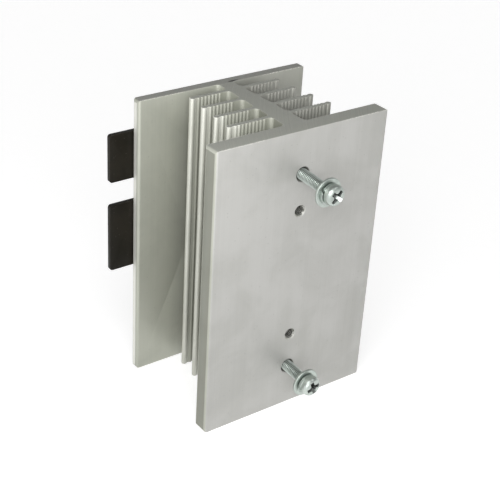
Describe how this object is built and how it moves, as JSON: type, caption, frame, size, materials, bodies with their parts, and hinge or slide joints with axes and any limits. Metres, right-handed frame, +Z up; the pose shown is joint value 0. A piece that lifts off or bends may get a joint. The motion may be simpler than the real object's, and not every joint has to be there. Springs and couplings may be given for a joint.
{
  "type": "extruded heat sink",
  "caption": "Extruded aluminium heat sink: front and rear plates on a stem with serrated fins, captive-washer device screws and a slotted side bracket.",
  "frame": {"origin": "foot of the stem, half way through the depth of the extruded profile and on its middle plane", "axes": "+Z up along the extrusion, -Y out of the front plate that the device bolts to, +X to the right seen from the front"},
  "size_m": [0.0772, 0.0669, 0.105],
  "materials": {
    "extruded_aluminium": "mill-finish extruded aluminium, satin, with faint drawing lines along the bar and sawn ends",
    "zinc_plated_steel": "bright zinc plating with a blue-green tint",
    "spring_steel": "zinc plated spring steel, slightly darker",
    "washer_steel": "stamped and zinc plated",
    "black_painted_steel": "satin black paint on sheet steel"
  },
  "bodies": {
    "root": {"heat_sink": "extruded_aluminium", "mounting_screws": "zinc_plated_steel", "spring_washers": "spring_steel", "flat_washers": "washer_steel", "mounting_bracket": "black_painted_steel", "bracket_screws": "zinc_plated_steel"}
  },
  "joints": []
}
